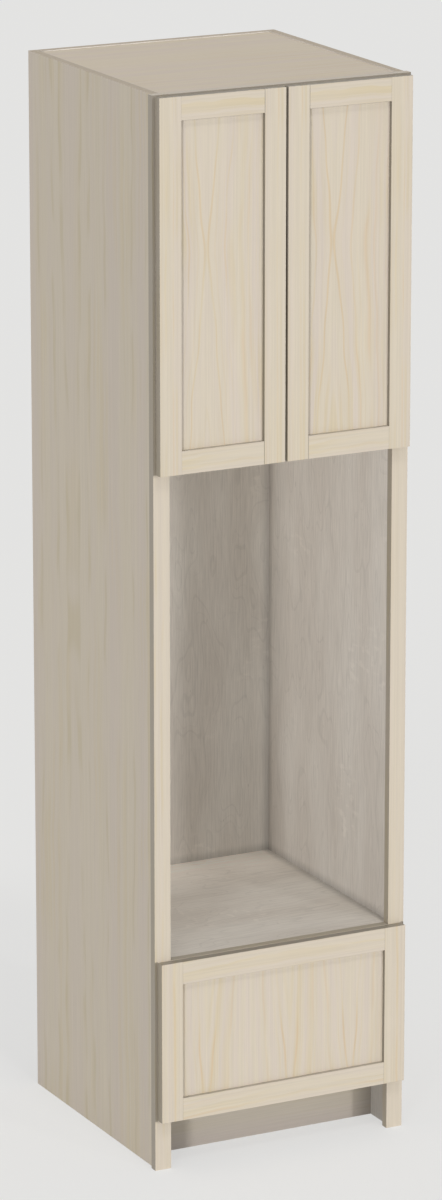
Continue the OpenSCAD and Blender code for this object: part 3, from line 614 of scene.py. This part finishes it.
def screw_seats(node):
    """Each screw of a CAD node: its axis, which way along it the point lies, the middle of
    its bearing face, and its head's width and rise, shank and length. The long straight
    shank is the widest gap between the heights of its corners."""
    copy = bmesh.new()
    copy.from_mesh(pieces[node].data)
    bmesh.ops.remove_doubles(copy, verts=copy.verts, dist=MM / 1000)
    left = set(copy.verts)
    seats = []
    while left:
        group, fresh = set(), [left.pop()]
        while fresh:
            corner = fresh.pop()
            group.add(corner)
            near = {edge.other_vert(corner) for edge in corner.link_edges} & left
            left -= near
            fresh += near
        places = np.array([corner.co for corner in group])
        low, high = places.min(axis=0), places.max(axis=0)
        axis = int(np.argmax(high - low))
        along = places[:, axis]
        at_low = (along < low[axis] + 0.01 * MM).sum()
        at_high = (along > high[axis] - 0.01 * MM).sum()
        way, top = (1, low[axis]) if at_low > at_high else (-1, high[axis])
        heights = np.unique(np.round((along - top) * way / (0.05 * MM))) * 0.05 * MM
        under = int(np.argmax(np.diff(heights)))
        rise, neck, tip = heights[under], heights[under + 1], heights[-1]
        seat = (low + high) / 2
        seat[axis] = top + way * rise
        head = max(np.delete(high - low, axis))
        seats.append((axis, way, *seat, head, rise, tip - neck, tip - rise))
    copy.free()
    return sorted(seats)


def ring(out, angle, height):
    """Points round the Z axis at each angle, as far out and as high as given."""
    return np.stack([out * np.cos(angle), out * np.sin(angle), height + 0 * angle], axis=1)


def screw_surface(head, rise, shank, length, pitch=1.5 * MM, columns=32, turn_steps=5):
    """Rings of points of a cross-head screw along +Z, its bearing face at height 0 and its
    head below. The head falls away as the fifth power of the radius. A cross recess sinks
    into it, deepest in the middle, and the columns next to its arms run along its walls.
    The thread's radius goes up and down once a pitch along a helix, and shrinks towards
    the point. The last two points close the recess and the tip."""
    between_arms, column_turn = math.pi / 2, 2 * math.pi / columns
    even = np.arange(columns) * column_turn
    nearest_arm = np.round(even / between_arms) * between_arms
    off = np.round((even - nearest_arm) / column_turn)
    arm_half, arm_reach, radius = 0.075 * head, 0.29 * head, head / 2
    hub = 1.4 * arm_half
    deep = min(0.75 * rise + 0.55 * MM, 1.6 * MM)
    in_recess = (0.7 * arm_half, 1.38 * arm_half, 1.5 * arm_half,
                 (1.5 * arm_half + arm_reach) / 2, 0.93 * arm_reach)
    on_dome = (arm_reach, 1.06 * arm_reach, (arm_reach + radius) / 2, 0.9 * radius,
               0.97 * radius, radius)

    rings = []
    for out in in_recess + on_dome:
        angle, sunk = even, float(out < hub)
        if hub < out <= arm_reach:
            wall, last = math.asin(arm_half / out), between_arms / 2
            lines = np.array([0, 0.96 * wall, 1.04 * wall, (1.04 * wall + last) / 2, last])
            angle = nearest_arm + np.sign(off) * lines[np.abs(off).astype(int)]
            sunk = (np.abs(off) < 1.5) * (out < arm_reach)
        dome = rise * (1 - 0.65 * (out / radius) ** 5)
        recess = deep * (1 - (out / arm_reach) ** 2 / 2)
        rings.append(ring(out, angle, sunk * recess - dome))
    rings += [ring(radius, even, 0.0), ring(shank / 2, even, 0.0)]
    for height in np.arange(1, int(length / pitch * turn_steps)) * pitch / turn_steps:
        turn = 2 * math.pi * height / pitch - even
        taper = min(1.0, (length - height) / shank)
        rings.append(ring(shank / 2 * taper * (1 - 0.13 * (1 - np.cos(turn))), even, height))
    ends = np.array([[0.0, 0.0, deep - rise], [0.0, 0.0, length]])
    return np.array(rings), ends


def screws(node, body):
    """Cross-head screws in the place of a CAD node's plain ones, as closed surfaces."""
    points, faces, start = [], [], 0
    for axis, way, x, y, z, head, rise, shank, length in screw_seats(node):
        rings, ends = screw_surface(head, rise, shank, length)
        count, columns = rings.shape[:2]
        local = np.concatenate([rings.reshape(-1, 3), ends])
        across = [(axis + 1) % 3, (axis + 2) % 3][::way]
        placed = np.zeros_like(local)
        placed[:, across] = local[:, :2]
        placed[:, axis] = way * local[:, 2]
        points.append(placed + (x, y, z))
        level, column = np.meshgrid(np.arange(count - 1), np.arange(columns), indexing="ij")
        beside = (column + 1) % columns
        this, after = start + level * columns, start + (level + 1) * columns
        faces += np.stack([this + column, this + beside, after + beside, after + column],
                          axis=-1).reshape(-1, 4).tolist()
        column, beside = column[0], beside[0]
        first, last, top = start, start + (count - 1) * columns, start + count * columns
        faces += np.stack([top + 0 * column, first + beside, first + column], axis=1).tolist()
        faces += np.stack([top + 1 + 0 * column, last + column, last + beside], axis=1).tolist()
        start += len(local)
    mesh = bpy.data.meshes.new(f"cross_head_{node}")
    mesh.from_pydata(np.concatenate(points).tolist(), [], faces)
    mesh.shade_smooth()
    mesh.set_sharp_from_angle(angle=math.radians(38))
    mesh.materials.append(zinc)
    piece = bpy.data.objects.new(f"cross_head_{node}", mesh)
    bpy.context.scene.collection.objects.link(piece)
    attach(piece, body)
    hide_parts(node)


for node, body in (("hinge_cup_screws_left", "door_left"),
                   ("hinge_cup_screws_right", "door_right"),
                   ("case_screws", "cabinet"), ("drawer_screws", "drawer")):
    screws(node, body)


# ---------------------------------------------------------------- eased edges


def ease_edges(node, radius):
    """Rounds the sharp edges of a board, as sanding does."""
    weld = pieces[node].modifiers.new("closed_seams", "WELD")
    weld.merge_threshold = MM / 100
    bevel = pieces[node].modifiers.new("eased_edges", "BEVEL")
    bevel.width = radius
    bevel.segments = 2
    bevel.limit_method = "ANGLE"
    bevel.angle_limit = math.radians(40)


for node in pieces:
    if node.startswith(("door_", "drawer_front")) and "bumpers" not in node:
        ease_edges(node, 0.8 * MM)
    elif node.startswith(("stile_", "rail_", "side_", "top_", "toe_board")):
        ease_edges(node, 0.6 * MM)


# ---------------------------------------------------------------- floor, light, camera


def seen_directly(tree):
    """1 for what the camera, bright metal or clear plastic shows of a surface, 0 where the
    surface only sends light to the pieces."""
    ray = tree.nodes.new("ShaderNodeLightPath").outputs
    result = ray["Is Camera Ray"]
    for kind in ("Is Glossy Ray", "Is Transmission Ray"):
        either = tree.nodes.new("ShaderNodeMath")
        either.operation = "MAXIMUM"
        tree.links.new(result, either.inputs[0])
        tree.links.new(ray[kind], either.inputs[1])
        result = either.outputs[0]
    return result


def studio_floor():
    """A wide pale floor. What the camera sees of it is lifted towards white, and it
    keeps the shadow."""
    reach, lift = 60.0, 0.6
    mesh = bpy.data.meshes.new("floor")
    mesh.from_pydata(
        [(-reach, -reach, 0), (reach, -reach, 0), (reach, reach, 0), (-reach, reach, 0)],
        [], [(0, 1, 2, 3)])
    floor = bpy.data.objects.new("floor", mesh)
    bpy.context.scene.collection.objects.link(floor)
    ground = Finish("floor_paint")
    seen = ground.times(seen_directly(ground.tree), lift)
    coat = ground.step("ShaderNodeBsdfDiffuse", {"Color": (0.82, 0.82, 0.81, 1.0)})
    glow = ground.step("ShaderNodeEmission", {"Color": (0.93, 0.93, 0.925, 1.0), "Strength": 1.0})
    mixed = ground.step("ShaderNodeMixShader", {0: seen, 1: coat, 2: glow})
    ground.step("ShaderNodeOutputMaterial", {"Surface": mixed})
    mesh.materials.append(ground.material)


def studio_light():
    """Even pale surroundings and three broad lamps: a weak one from the front and right,
    one from the left, and one high in front."""
    on_pieces, on_view = 0.482, 0.79
    world = bpy.data.worlds.new("studio")
    bpy.context.scene.world = world
    world.use_nodes = True
    tree = world.node_tree
    tree.nodes.clear()
    strength = tree.nodes.new("ShaderNodeMapRange")
    strength.inputs["To Min"].default_value = on_pieces
    strength.inputs["To Max"].default_value = on_view
    tree.links.new(seen_directly(tree), strength.inputs["Value"])
    sky = tree.nodes.new("ShaderNodeBackground")
    sky.inputs["Color"].default_value = (1.0, 0.99, 0.975, 1.0)
    tree.links.new(strength.outputs[0], sky.inputs["Strength"])
    tree.links.new(sky.outputs[0], tree.nodes.new("ShaderNodeOutputWorld").inputs[0])
    for name, around, above, energy, spread in (
            ("front_lamp", 20, 13, 0.50, 5), ("side_lamp", -44, 5, 1.24, 10),
            ("high_lamp", 0, 60, 0.36, 8)):
        lamp = bpy.data.lights.new(name, "SUN")
        lamp.angle = math.radians(spread)
        lamp.energy = energy
        lamp.color = (1.0, 0.985, 0.96)
        holder = bpy.data.objects.new(name, lamp)
        holder.rotation_euler = (math.radians(90 - above), 0.0, math.radians(around))
        bpy.context.scene.collection.objects.link(holder)


def photo_camera():
    """The photograph's own viewpoint: a long lens, from the left, a little above."""
    place, looks_down, turned = (-5.35884, -10.45320, 4.40797), 15.388, -27.168
    lens = bpy.data.cameras.new("photo_camera")
    lens.lens = 167.36
    lens.sensor_width = 36.0
    lens.clip_end = 200.0
    camera = bpy.data.objects.new("photo_camera", lens)
    camera.location = place
    camera.rotation_euler = (math.radians(90 - looks_down), 0.0, math.radians(turned))
    bpy.context.scene.collection.objects.link(camera)
    bpy.context.scene.camera = camera


studio_floor()
studio_light()
photo_camera()
bpy.context.scene.view_settings.view_transform = "Standard"
